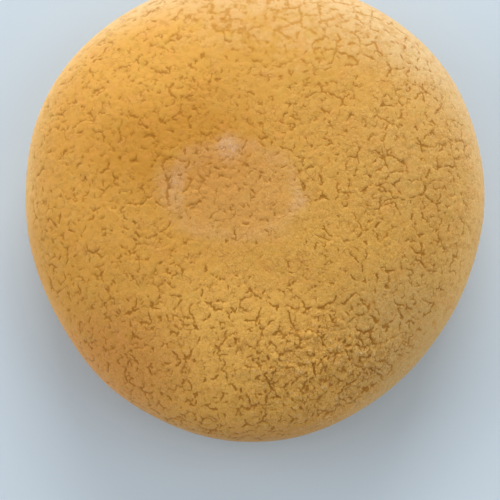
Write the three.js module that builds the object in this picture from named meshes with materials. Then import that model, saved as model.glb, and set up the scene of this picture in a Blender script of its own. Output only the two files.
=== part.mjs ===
// A large egg biscuit, baked as one piece: a flat underside where it stood on the tray,
// a side that bulges out above it, and a domed crown whose dry crust split into plates as it rose.

import * as THREE from "three";
import { ImprovedNoise } from "three/addons/math/ImprovedNoise.js";

// Sizes of the whole biscuit, in millimetres
const WIDTH = 127; // across the widest part of the side, on average
const HEIGHT = 44; // from the tray to the top of the crown
const WAIST_HEIGHT = 17; // of the widest part of the side, above the tray
const BASE_WIDTH = 98; // across the flat underside

// How the outline seen from above leaves a circle, as shares of its radius
const LONGER_ALONG_Y = 0.0166; // an oval, a little longer from near to far than from left to right
const THREE_LOBES = 0.0186; // fuller at the near side and at the two far shoulders
const UNEVEN = 0.004; // slow waves where the batter spread further
const SWELL = 0.6; // low swells of the crown and side, in millimetres
const SWELL_SIZE = 26; // from one swell to the next, in millimetres

// The crust, in millimetres
const PLATE_SIZE = 7.2; // from the middle of one plate to the next
const CRACK_WIDTH = 0.9; // across the mouth of the widest crack
const CRACK_DEPTH = 1.4; // of the widest crack
const SIDE_HEIGHT = 21; // below this height the side is smooth
const FADE_HEIGHT = 9; // the cracks thin out over this height above it
const CRUMB_RELIEF = 0.35; // how far small crumbs stand proud or are sunk
const CRUMB_SIZE = 4.5; // from one such crumb to the next
const ROUGH_SPOT = new THREE.Vector3(20, -40, 30); // the middle of the most broken crust
const ROUGH_REACH = 30; // how far from its middle that crust is rougher than elsewhere

// The mesh
const CRUST_STEP = 2.6; // the length of a triangle's side on the crust, in millimetres
const SIDE_STEP = 4.6; // and on the smooth side
const JITTER = 0.2; // how far a corner is moved off its ring, as a share of the step

const CRUST_COLOUR = 0xd49a45;

const FULL_TURN = 2 * Math.PI;
const { clamp, smoothstep } = THREE.MathUtils;
const perlin = new ImprovedNoise();
const random = seededRandom(61);

// A repeatable stream of numbers from 0 to 1
function seededRandom(seed) {
  let state = seed;
  return () => {
    state = (state * 1664525 + 1013904223) % 4294967296;
    return state / 4294967296;
  };
}

// A number from about -1 to 1 that changes smoothly over a distance of size. Each lane is a field of its own.
function noise(point, size, lane) {
  const { x, y, z } = point;
  return perlin.noise(x / size + 17.3 * lane, y / size - 9.1 * lane, z / size + 5.7 * lane);
}

// Half of the biscuit's section, from the top of the crown out to the waist and in to the rim of the underside
function halfSection() {
  const waist = WIDTH / 2;
  const base = BASE_WIDTH / 2;
  const shoulder = WAIST_HEIGHT + 0.62 * (HEIGHT - WAIST_HEIGHT);
  return new THREE.Path()
    .moveTo(0, HEIGHT)
    .bezierCurveTo(0.6 * waist, HEIGHT, waist, shoulder, waist, WAIST_HEIGHT)
    .bezierCurveTo(waist, 0.45 * WAIST_HEIGHT, base + 8, 0.16 * WAIST_HEIGHT, base, 0);
}

// How many times wider than a circle the outline is, at an angle anticlockwise from the +X axis
function outlineShare(angle) {
  const waves = UNEVEN * noise(new THREE.Vector3(Math.cos(angle), Math.sin(angle), 0), 0.6, 1);
  return 1 - LONGER_ALONG_Y * Math.cos(2 * angle) + THREE_LOBES * Math.sin(3 * angle) + waves;
}

// A point of the smooth biscuit and the way it faces, at a distance down the section from the crown
function smoothSurface(section, distance, angle) {
  const along = clamp(distance / section.getLength(), 0, 1);
  const at = section.getPointAt(along);
  const tangent = section.getTangentAt(along);
  const reach = at.x * outlineShare(angle);
  const out = new THREE.Vector2(Math.cos(angle), Math.sin(angle));
  return {
    angle,
    point: new THREE.Vector3(out.x * reach, out.y * reach, at.y),
    facing: new THREE.Vector3(-tangent.y * out.x, -tangent.y * out.y, tangent.x),
  };
}

// How far the crust has cracked at a point: 0 on the smooth side and 1 on the crown
function crustShare(point) {
  const ends = SIDE_HEIGHT + 3 * noise(point, 20, 2);
  return smoothstep(point.z, ends, ends + FADE_HEIGHT);
}

// 1 in the most broken part of the crust and 0 away from it
function roughShare(point) {
  return 1 - smoothstep(point.distanceTo(ROUGH_SPOT), 0.3 * ROUGH_REACH, ROUGH_REACH);
}

// The distances down the section at which the mesh has its rings, closer together on the crust than on the side
function ringDistances(section) {
  const length = section.getLength();
  const distances = [];
  let distance = 0;
  while (distance < length) {
    const height = section.getPointAt(distance / length).y;
    distance += height > SIDE_HEIGHT ? CRUST_STEP : SIDE_STEP;
    distances.push(distance);
  }
  return distances.map((d) => (d * length) / distance);
}

// One ring of corners round the biscuit. Each is moved a little off its place by the drift, a share of the step.
function ringOfCorners(section, distance, step, drift) {
  const radius = section.getPointAt(clamp(distance / section.getLength(), 0, 1)).x;
  const count = Math.max(6, Math.round((FULL_TURN * radius) / step));
  const start = random();
  return Array.from({ length: count }, (_, i) => {
    const angle = (FULL_TURN * (i + start + drift * (2 * random() - 1))) / count;
    return smoothSurface(section, distance + drift * step * (2 * random() - 1), angle);
  });
}

// The triangles between two rings of corners, the inner one being nearer to the crown
function stitch(inner, outer, innerFirst, outerFirst) {
  const angleOf = (ring, k) => ring[k % ring.length].angle + FULL_TURN * Math.floor(k / ring.length);
  const faces = [];
  let i = 0;
  let j = 0;
  while (i < inner.length || j < outer.length) {
    const innerNext = i < inner.length ? angleOf(inner, i + 1) : Infinity;
    const outerNext = j < outer.length ? angleOf(outer, j + 1) : Infinity;
    const a = innerFirst + (i % inner.length);
    const b = outerFirst + (j % outer.length);
    if (innerNext < outerNext) {
      i += 1;
      faces.push([a, b, innerFirst + (i % inner.length)]);
    } else {
      j += 1;
      faces.push([a, b, outerFirst + (j % outer.length)]);
    }
  }
  return faces;
}

// The smooth biscuit as corners and triangles: one corner at the crown, rings down to the rim of the underside,
// and one corner in the middle of the underside
function smoothBiscuit(section) {
  const crown = smoothSurface(section, 0, 0);
  const corners = [crown];
  const faces = [];
  const distances = ringDistances(section);
  let inner = [crown];
  let innerFirst = 0;
  distances.forEach((distance, k) => {
    const isRim = k === distances.length - 1;
    const step = distance - (distances[k - 1] ?? 0);
    const outer = ringOfCorners(section, distance, step, isRim ? 0 : JITTER);
    const outerFirst = corners.length;
    corners.push(...outer);
    if (k === 0) {
      outer.forEach((_, i) => faces.push([0, outerFirst + i, outerFirst + ((i + 1) % outer.length)]));
    } else {
      faces.push(...stitch(inner, outer, innerFirst, outerFirst));
    }
    inner = outer;
    innerFirst = outerFirst;
  });
  const underside = corners.length;
  corners.push({ point: new THREE.Vector3(), facing: new THREE.Vector3(0, 0, -1) });
  inner.forEach((_, i) => faces.push([innerFirst + i, underside, innerFirst + ((i + 1) % inner.length)]));
  return { corners, faces };
}

// The middles of the crust's plates, scattered over the crown and side
function plateMiddles(section) {
  const middles = [];
  for (let distance = 0; distance < section.getLength(); distance += PLATE_SIZE) {
    const radius = section.getPointAt(distance / section.getLength()).x;
    const count = Math.max(1, Math.round((FULL_TURN * radius) / PLATE_SIZE));
    for (let i = 0; i < count; i += 1) {
      const angle = (FULL_TURN * (i + 0.9 * random())) / count;
      const down = distance + PLATE_SIZE * (random() - 0.5);
      middles.push(smoothSurface(section, down, angle).point);
    }
  }
  return middles;
}

// The plate that a point lies in, how far the point is from the line between that plate and the next nearest,
// and the way across that line. Slow waves moved through the points give the plates ragged outlines.
function plateAt(point, middles) {
  const waves = [3, 4, 5].map((lane) => noise(point, 0.8 * PLATE_SIZE, lane));
  const from = new THREE.Vector3(...waves).multiplyScalar(0.42 * PLATE_SIZE).add(point);
  let nearest = { distance: Infinity };
  let second = nearest;
  middles.forEach((middle, plate) => {
    const distance = from.distanceTo(middle);
    if (distance < nearest.distance) {
      second = nearest;
      nearest = { plate, distance };
    } else if (distance < second.distance) {
      second = { plate, distance };
    }
  });
  const across = middles[second.plate].clone().sub(middles[nearest.plate]);
  const offLine = (second.distance ** 2 - nearest.distance ** 2) / (2 * across.length());
  return { plate: nearest.plate, offLine, across: across.normalize() };
}

// Moves the corners near the line between two plates towards that line, so that a crack runs along it smoothly
function settleOnLines(corners, middles) {
  for (const { point, facing } of corners) {
    if (crustShare(point) === 0) continue;
    const { offLine, across } = plateAt(point, middles);
    if (offLine > 0.45 * CRUST_STEP) continue;
    point.addScaledVector(across.projectOnPlane(facing), 0.75 * offLine);
  }
}

// Adds the low swells of the whole biscuit and the small crumbs of its crust, and leaves the underside flat
function addRelief(corners) {
  for (const { point, facing } of corners) {
    const swell = SWELL * noise(point, SWELL_SIZE, 6) * smoothstep(point.z, 1, WAIST_HEIGHT);
    const crumb = CRUMB_RELIEF * noise(point, CRUMB_SIZE, 7) * crustShare(point);
    point.addScaledVector(facing, swell + crumb * (1 + roughShare(point)));
  }
}

// How wide the crust has opened at a point, as a share of the widest crack
function openness(point) {
  const patchy = noise(point, 1.3 * PLATE_SIZE, 8) + 0.45 * noise(point, 0.5 * PLATE_SIZE, 9);
  return clamp(0.52 + 0.75 * patchy + 0.3 * roughShare(point), 0, 1) * crustShare(point);
}

// The edges of the mesh where the crust has opened between two plates. The map gives, for each corner on such an
// edge, the corner at its other end and how wide it has opened.
function crackEdges(corners, faces, middles) {
  const plates = faces.map((face) => {
    const middle = new THREE.Vector3();
    face.forEach((corner) => middle.addScaledVector(corners[corner].point, 1 / 3));
    return crustShare(middle) > 0 ? plateAt(middle, middles).plate : null;
  });
  const plateBeside = new Map(); // the plate on the left of an edge, by the edge's two corners in order
  faces.forEach((face, n) => face.forEach((a, k) => plateBeside.set(`${a} ${face[(k + 1) % 3]}`, plates[n])));
  const cracks = new Map();
  faces.forEach((face, n) => {
    face.forEach((a, k) => {
      const b = face[(k + 1) % 3];
      const beyond = plateBeside.get(`${b} ${a}`);
      if (plates[n] === null || beyond === null || plates[n] === beyond) return;
      const open = openness(corners[a].point.clone().lerp(corners[b].point, 0.5));
      if (open < 0.3) return;
      if (!cracks.has(a)) cracks.set(a, new Map());
      cracks.get(a).set(b, open);
    });
  });
  return withoutShortCracks(cracks);
}

// The cracks without those of a single edge, which would have two shut tips and no width between them
function withoutShortCracks(cracks) {
  const isShort = ([, others]) => others.size === 1 && cracks.get([...others.keys()][0]).size === 1;
  return new Map([...cracks].filter((crack) => !isShort(crack)));
}

// The sectors into which the cracks that meet at a corner divide the faces round it. Each goes anticlockwise,
// as seen from outside, from one crack to the next, and its spokes are the corners at the far ends of its edges.
function sectorsRound(corner, faces, facesRound, cracked) {
  const nextSpoke = new Map();
  for (const face of facesRound) {
    const k = faces[face].indexOf(corner);
    nextSpoke.set(faces[face][(k + 1) % 3], { face, end: faces[face][(k + 2) % 3] });
  }
  return cracked.map((start) => {
    const sector = { start, end: start, faces: [], spokes: [start] };
    do {
      const { face, end } = nextSpoke.get(sector.end);
      sector.faces.push(face);
      sector.spokes.push(end);
      sector.end = end;
    } while (!cracked.includes(sector.end));
    return sector;
  });
}

// The step from a corner back into a sector, square to the cracks on both sides of it. It is shorter than half of
// the crack's width where the sector's triangles are too narrow for that.
function stepInto(sector, corner, corners, halfWidth) {
  const { point, facing } = corners[corner];
  const [start, end] = [sector.start, sector.end].map((far) => corners[far].point.clone().sub(point));
  const fromStart = facing.clone().cross(start).normalize();
  const fromEnd = end.cross(facing).normalize();
  const bend = Math.max(0.6, 1 + fromStart.dot(fromEnd));
  let room = Infinity;
  sector.spokes.slice(1).forEach((spoke, k) => {
    const farEdge = new THREE.Line3(corners[sector.spokes[k]].point, corners[spoke].point);
    const nearest = farEdge.closestPointToPoint(point, true, new THREE.Vector3());
    room = Math.min(room, nearest.distanceTo(point));
  });
  return fromStart.add(fromEnd).multiplyScalar(halfWidth / bend).clampLength(0, 0.35 * room);
}

// Opens the mesh along the cracks. A corner inside a crack is copied once for each sector round it, each copy
// moves back into its sector, and the corner itself sinks to the bottom of the crack. Walls join the two.
function openCracks(corners, faces, cracks) {
  const places = corners.map(({ point }) => point.clone());
  const opened = faces.map((face) => [...face]);
  const facesRound = new Map([...cracks.keys()].map((corner) => [corner, []]));
  faces.forEach((face, n) => face.forEach((corner) => facesRound.get(corner)?.push(n)));
  const leftLip = new Map(); // the corner on the left of a crack's mouth where it starts, by its two ends in order
  const rightLip = new Map();
  for (const [corner, others] of cracks) {
    const cracked = [...others.keys()];
    if (cracked.length === 1) {
      leftLip.set(`${corner} ${cracked[0]}`, corner);
      rightLip.set(`${corner} ${cracked[0]}`, corner);
      continue;
    }
    const open = Math.max(...others.values());
    for (const sector of sectorsRound(corner, faces, facesRound.get(corner), cracked)) {
      const copy = places.length;
      const step = stepInto(sector, corner, corners, 0.5 * open * CRACK_WIDTH);
      places.push(corners[corner].point.clone().add(step));
      sector.faces.forEach((n) => (opened[n][faces[n].indexOf(corner)] = copy));
      leftLip.set(`${corner} ${sector.start}`, copy);
      rightLip.set(`${corner} ${sector.end}`, copy);
    }
    places[corner].addScaledVector(corners[corner].facing, -CRACK_DEPTH * Math.sqrt(open));
  }
  for (const [a, others] of cracks) {
    for (const b of others.keys()) {
      const lipA = leftLip.get(`${a} ${b}`);
      const lipB = rightLip.get(`${b} ${a}`);
      const walls = [
        [lipB, lipA, a],
        [lipB, a, b],
      ];
      opened.push(...walls.filter((wall) => new Set(wall).size === 3));
    }
  }
  return { places, opened };
}

function biscuitGeometry() {
  const section = halfSection();
  const { corners, faces } = smoothBiscuit(section);
  const middles = plateMiddles(section);
  settleOnLines(corners, middles);
  const cracks = crackEdges(corners, faces, middles);
  addRelief(corners);
  const { places, opened } = openCracks(corners, faces, cracks);
  const geometry = new THREE.BufferGeometry();
  geometry.setAttribute("position", new THREE.Float32BufferAttribute(places.flatMap((p) => p.toArray()), 3));
  geometry.setIndex(opened.flat());
  geometry.computeBoundingBox();
  const middle = geometry.boundingBox.getCenter(new THREE.Vector3());
  geometry.translate(-middle.x, -middle.y, -geometry.boundingBox.min.z);
  geometry.computeVertexNormals();
  return geometry;
}

const crust = new THREE.MeshStandardMaterial({ color: CRUST_COLOUR, roughness: 0.9, metalness: 0 });
const biscuit = new THREE.Mesh(biscuitGeometry(), crust);
biscuit.name = "egg_biscuit";

const part = new THREE.Group();
part.add(biscuit);

export default part;
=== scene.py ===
"""A large egg biscuit with a cracked golden crust, lying on a pale table under soft light."""

import math

import bpy
import numpy as np
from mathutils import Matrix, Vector, noise
from mathutils.kdtree import KDTree


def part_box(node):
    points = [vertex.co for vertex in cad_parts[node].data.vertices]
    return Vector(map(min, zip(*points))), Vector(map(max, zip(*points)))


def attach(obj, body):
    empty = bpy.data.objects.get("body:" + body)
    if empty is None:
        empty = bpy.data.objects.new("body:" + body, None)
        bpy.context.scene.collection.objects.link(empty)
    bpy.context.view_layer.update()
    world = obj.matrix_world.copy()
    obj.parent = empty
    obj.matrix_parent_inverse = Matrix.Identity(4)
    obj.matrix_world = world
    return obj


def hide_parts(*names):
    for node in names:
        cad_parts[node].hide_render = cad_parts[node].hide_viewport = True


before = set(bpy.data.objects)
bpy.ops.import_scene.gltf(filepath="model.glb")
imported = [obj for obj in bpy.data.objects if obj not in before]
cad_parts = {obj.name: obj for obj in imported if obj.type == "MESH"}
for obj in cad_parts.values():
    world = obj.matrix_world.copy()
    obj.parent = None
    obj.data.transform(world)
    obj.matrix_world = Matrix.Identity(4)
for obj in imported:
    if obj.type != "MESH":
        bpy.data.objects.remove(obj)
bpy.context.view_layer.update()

# The biscuit. One round of egg batter, baked on a tray: it spread and rose into a dome, bulged out over a
# flat underside, and its dry skin split into plates of crust that are parted by short, crooked cracks.

# Its form. All of its lengths are in millimetres, and MM turns them into the metres of the scene.
MM = 0.001
WIDTH = 127.0
HEIGHT = 44.0
WAIST_HEIGHT = 17.0
BASE_WIDTH = 98.0

# Three curves draw its section: over the crown to the waist, down the side to the foot, and in underneath.
# Their pulls are shares of the half widths and heights that they span, and FOOT_SPREAD is a length.
CROWN_PULL = 0.6
SHOULDER_PULL = 0.62
TUCK_PULL = 0.45
FOOT_PULL = 0.16
FOOT_SPREAD = 8.0
CURVE_POINTS = 200


def bezier(start, start_pull, end_pull, end):
    """Points along a curve from start to end, pulled towards the other two."""
    t = np.linspace(0, 1, CURVE_POINTS)[:, None]
    weights = ((1 - t) ** 3, 3 * (1 - t) ** 2 * t, 3 * (1 - t) * t**2, t**3)
    corners = (start, start_pull, end_pull, end)
    return sum(weight * np.array(corner) for weight, corner in zip(weights, corners))


waist, base = WIDTH / 2, BASE_WIDTH / 2
shoulder = WAIST_HEIGHT + SHOULDER_PULL * (HEIGHT - WAIST_HEIGHT)
tuck, foot = TUCK_PULL * WAIST_HEIGHT, FOOT_PULL * WAIST_HEIGHT
over_crown = bezier((0, HEIGHT), (CROWN_PULL * waist, HEIGHT), (waist, shoulder), (waist, WAIST_HEIGHT))
down_side = bezier((waist, WAIST_HEIGHT), (waist, tuck), (base + FOOT_SPREAD, foot), (base, 0))
in_underneath = bezier((base, 0), (0.7 * base, 0), (0.3 * base, 0), (0, 0))
section = np.vstack([over_crown, down_side[1:], in_underneath[1:]])
slopes = np.gradient(section, axis=0)
slopes /= np.linalg.norm(slopes, axis=1)[:, None]
down_section = np.concatenate([[0], np.cumsum(np.linalg.norm(np.diff(section, axis=0), axis=1))])
to_underside = down_section[-CURVE_POINTS]

# From above it isn't quite round: a little narrower across than along, and slightly three-cornered
OVAL = 0.0166
THREE_CORNERED = 0.0186


def smooth_form(distances, angles):
    """Points of the uncracked biscuit, at distances down from the crown, and the way that each faces."""
    reach, height = (np.interp(distances, down_section, section[:, k]) for k in (0, 1))
    slope_out, slope_up = (np.interp(distances, down_section, slopes[:, k]) for k in (0, 1))
    reach = reach * (1 - OVAL * np.cos(2 * angles) + THREE_CORNERED * np.sin(3 * angles))
    out = np.stack([np.cos(angles), np.sin(angles)], axis=1)
    at = np.column_stack([out * reach[:, None], height])
    return at, np.column_stack([-slope_up[:, None] * out, slope_out])


def way_round(distance):
    """How far it is round the biscuit, at a distance down from the crown."""
    return 2 * math.pi * np.interp(distance, down_section, section[:, 0])


# How far apart its points are: close in the cracked crust, and wider down the smooth side and underneath
GRAIN_HEIGHTS = (6, 18, 20)
GRAINS = (1.7, 1.0, 0.43)
UNDERSIDE_GRAIN = 2.6


def grain_at(distance):
    """How far apart the points are, at a distance down from the crown."""
    if distance > to_underside:
        return UNDERSIDE_GRAIN
    return float(np.interp(np.interp(distance, down_section, section[:, 1]), GRAIN_HEIGHTS, GRAINS))


# Rings of points from the crown down the side and in across the underside, each point a little off its place
DRIFT = 0.2
FEWEST_IN_RING = 6
dice = np.random.default_rng(7)
distances, angles, ring_starts = [np.zeros(1)], [np.zeros(1)], [0]
distance = grain_at(0)
while distance < down_section[-1] - 1:
    step = grain_at(distance)
    count = max(FEWEST_IN_RING, round(way_round(distance) / step))
    ring_starts.append(ring_starts[-1] + len(angles[-1]))
    drift_round, drift_down = dice.uniform(-DRIFT, DRIFT, (2, count))
    angles.append(2 * math.pi * (np.arange(count) + dice.random() + drift_round) / count)
    distances.append(distance + step * drift_down * (distance < to_underside))
    distance += step
ring_starts.append(ring_starts[-1] + len(angles[-1]))
distances.append(down_section[-1:])
angles.append(np.zeros(1))
point_distances, point_angles = np.concatenate(distances), np.concatenate(angles)
points, facing = smooth_form(point_distances, point_angles)


def number_in(ring, k):
    """The number of a ring's k-th point, counted on past its last point to its first."""
    ring_angles, start = ring
    return start + k % len(ring_angles)


def stitch(first, second):
    """The triangles between two rings, each given by its points' angles and the number of its first point."""
    nexts = [np.append(turns[1:], turns[0] + 2 * math.pi) for turns, _ in (first, second)]
    on_first = np.argsort(np.concatenate(nexts), kind="stable") < len(nexts[0])
    i = np.cumsum(on_first) - on_first
    j = np.cumsum(~on_first) - ~on_first
    ahead = np.where(on_first, number_in(first, i + 1), number_in(second, j + 1))
    return np.column_stack([number_in(first, i), number_in(second, j), ahead])


# The first and last rings are single points, and a triangle with one of them at two corners is left out
rings = list(zip(angles, ring_starts))
faces = np.vstack([stitch(*pair) for pair in zip(rings, rings[1:])])
faces = faces[(faces[:, 0] != faces[:, 2]) & (faces[:, 1] != faces[:, 2])]

# The waves start from a fixed seed, so that each run gives the same crust. Each lane has waves of its own.
noise.seed_set(3)
LANE_SHIFT = Vector((17.3, -9.1, 5.7))

# A part of the crust is at its fullest within this share of its reach
FULL_WITHIN = 0.35


def waves(at, size, lane):
    """Three numbers from about -1 to 1 at each point, which change smoothly over a distance of size."""
    shift = LANE_SHIFT * lane
    return np.array([noise.noise_vector(Vector(point) / size + shift) for point in at.tolist()])


def ease(value, low, high):
    """0 below low, 1 above high, and a smooth rise between them."""
    t = np.clip((value - low) / (high - low), 0, 1)
    return t * t * (3 - 2 * t)


def near(at, middle, reach):
    """1 round a middle, falling to 0 at reach from it, seen from above."""
    return 1 - ease(np.linalg.norm((at[:, :2] - middle) / reach, axis=1), FULL_WITHIN, 1)


def towards(at, angle):
    """1 at the rim in one direction, given in degrees from +X, and 0 on the other half of the biscuit."""
    turn = math.radians(angle)
    return np.clip((math.cos(turn) * at[:, 0] + math.sin(turn) * at[:, 1]) / waist, 0, 1)


# The crust has cracked above the smooth side, whose top is higher at the right and the far left and lower at
# the near edge. Each row gives a direction, how much higher the side is there, and how narrow that rise is.
SIDE_HEIGHT = 19
CRACKS_SET_IN_OVER = 8
side_top = SIDE_HEIGHT + 3 * waves(points, 20, 2)[:, 0]
for angle, higher, narrow in ((-32, 5, 4), (140, 3, 2), (-95, -6, 4), (30, 5, 4)):
    side_top += higher * towards(points, angle) ** narrow
crust = ease(points[:, 2], side_top, side_top + CRACKS_SET_IN_OVER)

# Parts of the crust that differ, each by its middle and its reach seen from above: rough and crumbly at the
# near right, leathery at the far left, with open cracks at the right and along the far rim, calm on the crown
ROUGH_PART = (26, -49), (35, 20)
LEATHERY_PART = (-18, 38), (52, 36)
OPEN_PART = (40, 14), (30, 36)
FAR_RIM = (4, 54), (48, 30)
CALM_PART = (2, -15), (28, 19)
rough = near(points, *ROUGH_PART)
leathery = near(points, *LEATHERY_PART)
open_right = near(points, *OPEN_PART)
far_rim = near(points, *FAR_RIM)
calm = near(points, *CALM_PART)

# How far each point is towards the far right, and how far into the near half
far_right = ease(0.5 * points[:, 0] + 0.87 * points[:, 1], 0, 50)
near_half = ease(-points[:, 1], -10, 45)


class Plates:
    """Plates of crust round scattered middles, with their uneven heights and how deep their cracks are."""

    def __init__(self, size, deepest, uneven, lane):
        self.size = size
        self.deepest = deepest
        self.uneven = uneven
        self.lane = lane
        middles = []
        for down in np.arange(0, to_underside, size):
            count = max(1, round(way_round(down) / size))
            turn = 2 * math.pi * (np.arange(count) + 0.9 * dice.random(count)) / count
            middles.append(smooth_form(down + size * (dice.random(count) - 0.5), turn)[0])
        self.middles = np.vstack(middles)
        self.tree = KDTree(len(self.middles))
        for number, middle in enumerate(self.middles):
            self.tree.insert(middle, number)
        self.tree.balance()

    def ragged(self, at):
        """The points moved about by wide and small waves, which makes the lines between plates crooked."""
        wide = 0.4 * self.size * waves(at, 0.8 * self.size, self.lane)
        return at + wide + 0.35 * waves(at, 1.3, self.lane + 10)

    def edge_near(self, at):
        """How far each point is from the nearest line between two plates, and the way across that line."""
        found = [self.tree.find_n(point, 2) for point in self.ragged(at).tolist()]
        plate = np.array([[hit[1] for hit in pair] for pair in found])
        away = np.array([[hit[2] for hit in pair] for pair in found])
        way_across = self.middles[plate[:, 1]] - self.middles[plate[:, 0]]
        length = np.linalg.norm(way_across, axis=1)
        return (away[:, 1] ** 2 - away[:, 0] ** 2) / (2 * length), way_across / length[:, None]

    def plate_of(self, at):
        """The number of the plate that each point is on."""
        return np.array([self.tree.find(point)[1] for point in self.ragged(at).tolist()])


slabs = Plates(size=9.0, deepest=0.36, uneven=0.06, lane=14)
large_plates = Plates(size=4.8, deepest=0.26, uneven=0.06, lane=3)
small_plates = Plates(size=2.6, deepest=0.2, uneven=0.03, lane=4)
finest_plates = Plates(size=1.6, deepest=0.13, uneven=0.015, lane=13)

# Points near a line between plates are drawn most of the way to it, so that a crack runs along it
DRAWN_WITHIN = 0.24
DRAWN_SHARE = 0.8
unsettled = points.copy()
settled = np.zeros(len(points), bool)
for plates in (slabs, large_plates, small_plates, finest_plates):
    off_line, way_across = plates.edge_near(points)
    flat_across = way_across - facing * np.sum(way_across * facing, axis=1)[:, None]
    drawn = (off_line < DRAWN_WITHIN) & (crust > 0) & ~settled
    points[drawn] += DRAWN_SHARE * off_line[drawn, None] * flat_across[drawn]
    settled |= drawn

# Points that squeezed the crust in settling go back, so that no triangle is turned over
LEAST_DOUBLE_AREA = 0.03


def on_pinched(at):
    """Which points are corners of a triangle that is squeezed thin or turned over."""
    first, second, third = (at[faces[:, k]] for k in range(3))
    double_area = np.sum(np.cross(second - first, third - first) * facing[faces[:, 0]], axis=1)
    corners = np.zeros(len(at), bool)
    corners[faces[double_area < LEAST_DOUBLE_AREA]] = True
    return corners


sent_back = settled & on_pinched(points)
while sent_back.any():
    points[sent_back] = unsettled[sent_back]
    settled &= ~sent_back
    sent_back = settled & on_pinched(points)

# The relief of the crust, and its toast and shade: how far it has browned, together with painted shade that
# darkens what lies low and a painted highlight that lightens what stands up. Crumbs and ridges stand up, most
# of all in the rough part, and are painted paler than what lies between them. The ridges are longer along the
# rim than down the side.
CRUMB_LEVEL = 0.36
RIDGE_LEVEL = 0.4
RIDGE_RADIUS = 50
RIDGE_SQUEEZE = 1.7
crumbs = 0.8 * np.abs(waves(points, 1.9, 8)[:, 0]) + 0.8 * np.abs(waves(points, 1.05, 9)[:, 0]) - CRUMB_LEVEL
along_rim = np.column_stack([RIDGE_RADIUS * point_angles, RIDGE_SQUEEZE * point_distances, 0 * point_angles])
ridges = 1.3 * np.abs(waves(along_rim, 3.6, 11)[:, 0]) + 0.6 * np.abs(waves(along_rim, 1.7, 12)[:, 0])
ridges -= RIDGE_LEVEL
relief = (0.08 + 0.4 * rough + 0.1 * np.maximum(open_right, far_rim)) * crumbs + 0.3 * rough * ridges
toast_and_shade = -0.25 * relief

# Wrinkles at the left and along the far rim sink, and are browned and darkened with painted shade in their
# folds
WRINKLED_LEFT = (-24, 17), (38, 32)
WRINKLED_FAR = (2, 46), (46, 26)
wrinkled = np.maximum(near(points, *WRINKLED_LEFT), near(points, *WRINKLED_FAR))
folds = ease(0.15 - np.abs(waves(points, 2.4, 15)[:, 0]), 0, 0.15)
folds *= ease(waves(points, 4.5, 16)[:, 0], -0.25, 0.2)
relief -= 0.15 * wrinkled * folds
toast_and_shade += 0.13 * wrinkled * folds

# The sides of the triangles, the triangle that each belongs to, and the same side as its neighbour has it
sides = np.vstack([faces[:, [0, 1]], faces[:, [1, 2]], faces[:, [2, 0]]])
face_of_side = np.tile(np.arange(len(faces)), 3)
keys = sides[:, 0] * len(points) + sides[:, 1]
by_key = np.argsort(keys)
opposite = by_key[np.searchsorted(keys, sides[:, 1] * len(points) + sides[:, 0], sorter=by_key)]
middles_of_faces = points[faces].mean(axis=1)

# How readily the cracks round each size of plate open in each part, from shut at 0 or less to fully deep at
# WIDE_OPEN, and how much short waves break them up
WIDE_OPEN = 0.55
slabs_open = -0.26 + 0.45 * rough + 0.2 * far_rim
large_open = 0.13 + 0.12 * open_right - 0.08 * leathery + 0.06 * near_half - 0.2 * calm + 0.26 * far_rim
small_open = 0.09 + 0.09 * open_right + 0.1 * near_half + 0.2 * rough - 0.16 * calm
finest_open = (
    0.05 - 0.06 * open_right + 0.14 * rough + 0.08 * leathery + 0.05 * near_half
    - 0.05 * calm - 0.05 * far_rim
)
broken_up = 0.8 - 0.1 * open_right - 0.2 * far_rim - 0.25 * rough

# Each plate lies at a height of its own. A crack sinks to a sharp line and lifts its lips a little, and finer
# cracks hold back beside it. Cracks are browned and darkened with painted shade, and so are their lips at the
# far left and along the far rim.
cracked = np.zeros(len(points))
for plates, opening in (
    (slabs, slabs_open),
    (large_plates, large_open),
    (small_plates, small_open),
    (finest_plates, finest_open),
):
    opening = opening + 0.3 * waves(points, 6.5, plates.lane + 20)[:, 0]
    opening += broken_up * waves(points, 1.7, plates.lane + 30)[:, 0]
    plate = plates.plate_of(middles_of_faces)
    parted = plate[face_of_side] != plate[face_of_side[opposite]]
    on_line = np.zeros(len(points), bool)
    on_line[sides[parted]] = True
    heights = dice.uniform(-plates.uneven, plates.uneven, len(plates.middles))
    relief += heights[plates.plate_of(points)] * (1 + 4 * rough + open_right)
    crack = ease(opening, 0, WIDE_OPEN) * (1 - 0.5 * cracked) * on_line
    beside = np.zeros(len(points))
    np.maximum.at(beside, sides[:, 0], crack[sides[:, 1]])
    cracked = np.maximum.reduce([cracked, beside, crack])
    lip = beside * ~on_line
    sunk = plates.deepest * (1 + 0.1 * rough) * crack
    relief -= sunk * (1 - 0.4 * leathery) * (1 - 0.2 * far_rim) - 0.06 * plates.deepest * lip
    toast_and_shade += sunk * (1 - 0.2 * rough) + (0.12 * leathery + 0.28 * far_rim) * plates.deepest * lip

# A few pits between the cracks, then the slow swell of the whole form and the faint unevenness of its skin
PITTED_SHARE = 0.01
pitted = (dice.random(len(points)) < PITTED_SHARE) & ~settled
pits = dice.uniform(0.08, 0.2, len(points)) * pitted
relief = (relief - pits) * crust * (1 - 0.25 * far_right)
# Pits are browned and darkened with painted shade, as the cracks are
toast_and_shade = (toast_and_shade + pits) * crust
swell = 0.6 * waves(points, 26, 7)[:, 0] * ease(points[:, 2], 1, WAIST_HEIGHT)
skin = 0.03 * waves(points, 2.2, 10)[:, 0] * ease(points[:, 2], 0.5, 3)
points += (swell + relief + skin)[:, None] * facing

# The finished mesh, in metres, in the box of the solid that it stands for
low, high = (np.array(corner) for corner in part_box("egg_biscuit"))
place_in_box = (points - points.min(axis=0)) / np.ptp(points, axis=0)
mesh = bpy.data.meshes.new("egg_biscuit_crust")
mesh.from_pydata((low + place_in_box * (high - low)).tolist(), [], faces.tolist())
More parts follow.
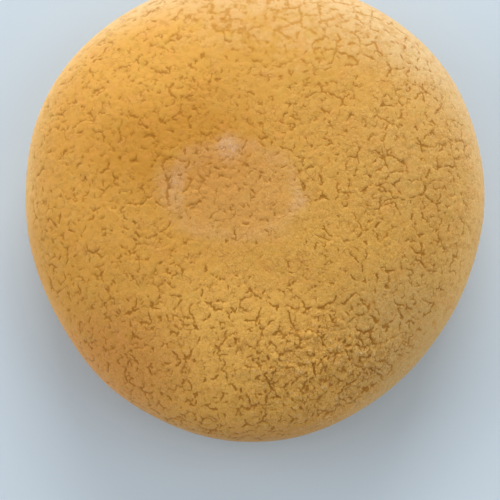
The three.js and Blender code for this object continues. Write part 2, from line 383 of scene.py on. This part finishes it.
# The browning, painted shade and painted highlight of the crust go to its finish as one point attribute
mesh.attributes.new("toast_and_shade", "FLOAT", "POINT").data.foreach_set("value", toast_and_shade)
mesh.polygons.foreach_set("use_smooth", np.ones(len(faces), bool))
mesh.update()
biscuit = bpy.data.objects.new("egg_biscuit_crust", mesh)
bpy.context.collection.objects.link(biscuit)


class Varying:
    """A value or colour that varies over a surface. Arithmetic on a value adds the nodes that work it out."""

    def __init__(self, finish, socket):
        self.finish = finish
        self.socket = socket

    def maths(self, operation, first, second=0.0):
        return self.finish.node("Math", {0: first, 1: second}, "Value", operation=operation)

    def __add__(self, other):
        return self.maths("ADD", self, other)

    def __radd__(self, other):
        return self.maths("ADD", other, self)

    def __sub__(self, other):
        return self.maths("SUBTRACT", self, other)

    def __rsub__(self, other):
        return self.maths("SUBTRACT", other, self)

    def __mul__(self, other):
        return self.maths("MULTIPLY", self, other)

    def __rmul__(self, other):
        return self.maths("MULTIPLY", other, self)

    def __abs__(self):
        return self.maths("ABSOLUTE", self)


class Finish:
    """A material and the nodes that give it its looks."""

    def __init__(self, name):
        self.material = bpy.data.materials.new(name)
        self.material.use_nodes = True
        self.material.node_tree.nodes.clear()

    def node(self, kind, sockets, *outputs, **settings):
        """The named outputs of a new node, whose settings are made before its sockets get values or links."""
        tree = self.material.node_tree
        made = tree.nodes.new("ShaderNode" + kind)
        for name, value in settings.items():
            setattr(made, name, value)
        for name, value in sockets.items():
            inputs = enumerate(made.inputs)
            called = [socket for k, socket in inputs if name in (k, socket.identifier, socket.name)]
            if isinstance(value, Varying):
                tree.links.new(value.socket, called[0])
            else:
                called[0].default_value = value
        asked = [socket for socket in made.outputs if {socket.identifier, socket.name} & set(outputs)]
        found = [Varying(self, socket) for socket in asked]
        return found[0] if len(outputs) == 1 else found

    def speckle(self, place, size, detail, roughness=0.55):
        """Random light and dark from 0 to 1, in patches of about a size."""
        sockets = {"Vector": place, "Scale": 1 / (size * MM), "Detail": detail, "Roughness": roughness}
        return self.node("TexNoise", sockets, "Fac")

    def between(self, value, low, high):
        """0 on the low side, 1 on the high side, and a smooth change between them. Low may be above high."""
        sockets = {"Value": value, "From Min": low, "From Max": high}
        return self.node("MapRange", sockets, "Result", interpolation_type="SMOOTHSTEP")

    def blend(self, share, first, second):
        """The first colour, turned into the second by a share."""
        sockets = {"Factor_Float": share, "A_Color": first, "B_Color": second}
        return self.node("Mix", sockets, "Result_Color", data_type="RGBA")

    def away(self, place, middle, reach):
        """How far a place is from a middle seen from above, as a share of the reach across and along."""
        middle_in_metres = (middle[0] * MM, middle[1] * MM, 0)
        from_middle = self.node("VectorMath", {0: place, 1: middle_in_metres}, "Vector", operation="SUBTRACT")
        shares = (1 / (reach[0] * MM), 1 / (reach[1] * MM), 0)
        scaled = self.node("VectorMath", {0: from_middle, 1: shares}, "Vector", operation="MULTIPLY")
        return self.node("VectorMath", {0: scaled}, "Value", operation="LENGTH")

    def near(self, place, middle, reach):
        """1 round a middle, falling to 0 at reach from it, as near() gives it for the crust's points."""
        return self.between(self.away(place, middle, reach), 1.0, FULL_WITHIN)


def colour(red, green, blue):
    """A colour from its red, green and blue as a screen shows them, from 0 to 255."""
    return tuple(((part / 255 + 0.055) / 1.055) ** 2.4 for part in (red, green, blue)) + (1.0,)


# The crust's finish: matt golden crumb, toasted and painted with shade in its cracks, and paler with a
# painted highlight on what stands up
golden = Finish("golden_biscuit_crust")
place = golden.node("TexCoord", {}, "Object")
across, along, up = golden.node("SeparateXYZ", {"Vector": place}, "X", "Y", "Z")
toast_and_shade_there = golden.node("Attribute", {}, "Fac", attribute_name="toast_and_shade")
rough_there = golden.near(place, *ROUGH_PART)
far_rim_there = golden.near(place, *FAR_RIM)
broad = golden.speckle(place, 36, detail=2)
mottle = golden.speckle(place, 5, detail=4, roughness=0.6)
tint = golden.speckle(place, 3.7, detail=2)
blotches = golden.speckle(place, 2.1, detail=1)
grain = golden.speckle(place, 0.9, detail=2, roughness=0.6)
dust = golden.speckle(place, 0.4, detail=1)


def spot(middle, reach, ragged, outer=1.5, inner=0.6):
    """1 in a spot of the crust and 0 outside it, with an edge that a speckle makes ragged."""
    return golden.between(golden.away(place, middle, reach) + ragged, outer, inner)


# The golden crumb: more orange at the left, deeper at the left of the crown and lighter at the far left
to_right = golden.between(across * 8 + broad * 0.8, -0.25, 1.05)
ground = golden.blend(to_right, colour(216, 153, 57), colour(210, 160, 72))
ground = golden.blend(golden.between(mottle, 0.35, 0.7) * 0.4, ground, colour(215, 162, 78))
deeper = spot((-19, 8), (30, 22), mottle * 0.5, outer=1.3)
ground = golden.blend(deeper * 0.85, ground, colour(196, 134, 37))
lighter = spot((-34, 37), (24, 22), broad * 0.5)
ground = golden.blend(lighter * 0.6, ground, colour(230, 169, 72))

# The smooth side is paler, in its own colour and with a painted highlight of the sheen along its rim: creamy
# at the far right and more orange at the near left, but not at the near edge
near_edge = golden.between(along + broad * (10 * MM), -46 * MM, -60 * MM)
at_far_right = golden.between(along + across * 0.2, 12 * MM, 50 * MM)
at_near_left = golden.between(along + across * 0.3, -18 * MM, -42 * MM)
# The pale side colour is partly a painted sheen
side_colour_and_sheen = golden.blend(at_far_right, colour(239, 190, 112), colour(227, 195, 142))
side_colour_and_sheen = golden.blend(at_near_left, side_colour_and_sheen, colour(228, 168, 92))
above_side = up - (to_right + at_far_right * 1.3 - at_near_left) * (4 * MM) + mottle * (5 * MM)
side = golden.between(above_side, 36 * MM, 23 * MM)
ground = golden.blend(side * (1 - near_edge) * 0.85, ground, side_colour_and_sheen)

# The near half: olive at the right, pale in the middle, ruddy at the left, and brown down the near edge
olive = spot((42, -38), (20, 24), broad * 0.5)
ground = golden.blend(olive * 0.85, ground, colour(205, 165, 97))
pale = spot((4, -42), (36, 20), broad * 0.6)
ground = golden.blend(pale * 0.9, ground, colour(240, 183, 86))
ruddy = spot((-34, -49), (24, 16), broad * 0.5)
ground = golden.blend(ruddy * 0.6, ground, colour(208, 134, 62))
ground = golden.blend(side * near_edge, ground, colour(194, 137, 60))

# Fresh yellow at the right of the crown, duller at the right, and creamy patches along the far rim
fresh = spot((24, -16), (20, 13), broad * 0.5, outer=1.4)
ground = golden.blend(fresh * 0.5, ground, colour(226, 172, 76))
duller = spot((42, 14), (18, 22), broad * 0.5)
ground = golden.blend(duller * 0.5, ground, colour(214, 168, 90))
creamy = golden.between(mottle + broad * 0.5, 0.66, 0.9) * far_rim_there
ground = golden.blend(creamy * 0.4, ground, colour(230, 188, 132))

# Small patches all over are more orange or more yellow, and the foot and the underside are baked brown
ground = golden.blend(golden.between(tint, 0.52, 0.72) * 0.3, ground, colour(217, 148, 72))
ground = golden.blend(golden.between(tint, 0.46, 0.26) * 0.3, ground, colour(204, 165, 72))
baked = golden.between(up + mottle * (3 * MM), 16 * MM, 4 * MM)
ground = golden.blend(baked * 0.8, ground, colour(190, 128, 58))
underside = golden.between(up, 2.2 * MM, 0.4 * MM)
ground = golden.blend(underside * 0.75, ground, colour(150, 92, 40))

# The dusty bloom on the crown, a faint and broken greyish ring round a pinker middle
from_bloom = golden.away(place, (-5, -3), (17, 11.5)) + (broad - 0.5) * 0.4 + (mottle - 0.5) * 0.7
ring = golden.between(abs(from_bloom - 1) + (grain - 0.5) * 0.6, 0.3, 0.0)
ring_far = spot((-7, 8), (5.5, 6.5), grain * 0.4, outer=1.1, inner=0.3)
ring_left = spot((-18, -3), (7.5, 9), grain * 0.4, outer=1.1, inner=0.3)
ring_right = spot((12, -4), (4, 6), grain * 0.4, outer=1.1, inner=0.3)
dusted = ring * (ring_left * 0.8 + ring_right * 0.6 + 0.4) + ring_far * 0.9
dusted = dusted * (golden.between(grain, 0.4, 0.65) * 0.8 + 0.5)
blush = golden.between(from_bloom, 1.15, 0.6)
ground = golden.blend(blush * 0.35, ground, colour(210, 151, 90))
ground = golden.blend(dusted * 0.48, ground, colour(220, 180, 146))

# Browner blotches away from the crown, and paler crumb where it stands up, with a painted highlight on it
off_crown = golden.between(golden.away(place, (0, -10), (34, 34)) + broad * 0.5, 0.7, 1.4)
ground = golden.blend(golden.between(blotches, 0.5, 0.3) * off_crown * 0.4, ground, colour(196, 140, 42))
raised_and_highlit = golden.between(toast_and_shade_there - grain * 0.1, -0.04, -0.14) * (rough_there * 0.4 + 0.5)
raised_and_highlit_colour = golden.blend(rough_there, colour(224, 178, 108), colour(230, 192, 132))
ground = golden.blend(raised_and_highlit, ground, raised_and_highlit_colour)

# A net of hairline cracks, too fine for the mesh, fades out down the side and at the far rim. The net, the
# grain and the dust of crumbs are sharper towards the near right.
CELLS_PER_METRE = 520
WOBBLES_PER_METRE = 700
sharper = golden.between(across * 0.9 - along * 0.8, -45 * MM, 35 * MM)
wobble = golden.node("TexNoise", {"Vector": place, "Scale": WOBBLES_PER_METRE, "Detail": 2.0}, "Color")
wobble = golden.node("VectorMath", {0: wobble, "Scale": 1.8 * MM}, "Vector", operation="SCALE")
wobbly_place = golden.node("VectorMath", {0: place, 1: wobble}, "Vector", operation="ADD")
cells = {"Vector": wobbly_place, "Scale": CELLS_PER_METRE, "Randomness": 1.0}
off_hairline = golden.node("TexVoronoi", cells, "Distance", feature="DISTANCE_TO_EDGE")
hairline_share = golden.between(mottle + grain + rough_there * 0.08, 0.98, 1.15)
hairline = golden.between(off_hairline, 0.09, 0.02) * hairline_share
hairline = hairline * golden.between(up, 22 * MM, 30 * MM) * (1 - far_rim_there * 0.7)
ground = golden.blend(hairline * (sharper * 0.25 + 0.3), ground, colour(176, 116, 38))
dark_grain = golden.between(grain, 0.55, 0.3) * (sharper * 0.28 + 0.07)
ground = golden.blend(dark_grain, ground, colour(192, 132, 48))
dustiness = sharper * 0.27 + rough_there * 0.2 + 0.02
light_dust = golden.between(dust, 0.5, 0.72) * dustiness
dark_dust = golden.between(dust, 0.5, 0.28) * dustiness
ground = golden.blend(light_dust, ground, colour(236, 196, 130))
ground = golden.blend(dark_dust, ground, colour(176, 118, 42))

# The cracks of the mesh are toasted and darkened with painted shade, less so at the right edge, and lighter
# along the far rim
right_edge = golden.between(across, 42 * MM, 60 * MM)
toasted_and_shaded = golden.between(toast_and_shade_there, 0.06 + rough_there * 0.02, 0.24 - sharper * 0.04)
toasted_and_shaded = toasted_and_shaded * (sharper * 0.08 - right_edge * 0.22 + 0.7)
toast_and_shade_colour = golden.blend(far_rim_there, colour(166, 105, 10), colour(190, 128, 28))
ground = golden.blend(toasted_and_shaded, ground, toast_and_shade_colour)

# Crumbs that are too fine for the mesh are bumps, and hairline cracks are sunk between them
bumps = grain * (sharper * 0.5 + 0.5) + mottle * 0.8 + dust * 0.4 + rough_there * (grain + dust) * 1.2
bumps = bumps - hairline * 0.5
bump = golden.node("Bump", {"Strength": 0.5, "Distance": 0.3 * MM, "Height": bumps}, "Normal")
look = {
    "Base Color": ground,
    "Roughness": 0.88,
    "Specular IOR Level": 0.3,
    "Sheen Weight": 0.25,
    "Sheen Roughness": 0.5,
    "Sheen Tint": colour(255, 236, 208),
    "Normal": bump,
}
shader = golden.node("BsdfPrincipled", look, "BSDF")
golden.node("OutputMaterial", {"Surface": shader})
mesh.materials.append(golden.material)
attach(biscuit, "root")
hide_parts("egg_biscuit")

# The table: a wide, flat board with a pale and matt paint. The biscuit lies loose on it, and the board is a
# hair lower than the biscuit's underside, so that the two faces never lie in one plane.
TABLE_DROP = 0.0002
table_mesh = bpy.data.meshes.new("table")
table_mesh.from_pydata([(-3, -3, 0), (3, -3, 0), (3, 3, 0), (-3, 3, 0)], [], [(0, 1, 2, 3)])
table = bpy.data.objects.new("table", table_mesh)
bpy.context.collection.objects.link(table)
table.location.z = -TABLE_DROP
painted = Finish("pale_table")
table_look = {"Base Color": colour(203, 217, 228), "Roughness": 0.7}
table_shader = painted.node("BsdfPrincipled", table_look, "BSDF")
painted.node("OutputMaterial", {"Surface": table_shader})
table_mesh.materials.append(painted.material)

# The light: a wide soft window beyond the biscuit, weaker ones at its left and right, and a pale room all
# round. Each window is given by its place in the room and its watts, and faces the biscuit.
WINDOW_WIDTH = 1.2
ROOM_STRENGTH = 0.53
world = bpy.data.worlds.new("room")
world.use_nodes = True
room = world.node_tree.nodes["Background"].inputs
room["Color"].default_value = colour(248, 250, 252)
room["Strength"].default_value = ROOM_STRENGTH
bpy.context.scene.world = world
for name, place_in_room, watts in (
    ("window", (0, 1.66, 0.68), 27.0),
    ("left", (-1.63, 0, 0.76), 10.5),
    ("right", (1.38, 0, 1.16), 5.5),
):
    lamp = bpy.data.lights.new(name, "AREA")
    lamp.size = WINDOW_WIDTH
    lamp.energy = watts
    light = bpy.data.objects.new(name, lamp)
    light.location = place_in_room
    light.rotation_euler = (-Vector(place_in_room)).to_track_quat("-Z", "Y").to_euler()
    bpy.context.collection.objects.link(light)

# The camera looks down on the crown from the near side, a little from the right. It is aimed below the middle
# of the biscuit, which so lies a little above the middle of the picture.
CAMERA_LENS = 108.9
CAMERA_DISTANCE = 0.41
AIM_HEIGHT = 0.02
AIM_LEFT = 0.00095
AIM_BELOW = 0.013
azimuth, elevation = math.radians(5), math.radians(78)
level = math.cos(elevation)
to_camera = Vector((math.sin(azimuth) * level, -math.cos(azimuth) * level, math.sin(elevation)))
sideways = Vector((math.cos(azimuth), math.sin(azimuth), 0))
up_in_picture = to_camera.cross(sideways)
aim = Vector((0, 0, AIM_HEIGHT)) - AIM_LEFT * sideways - AIM_BELOW * up_in_picture
camera = bpy.data.objects.new("camera", bpy.data.cameras.new("camera"))
camera.data.lens = CAMERA_LENS
camera.location = aim + CAMERA_DISTANCE * to_camera
camera.rotation_euler = (-to_camera).to_track_quat("-Z", "Y").to_euler()
bpy.context.collection.objects.link(camera)
bpy.context.scene.camera = camera
bpy.context.scene.view_settings.view_transform = "Standard"
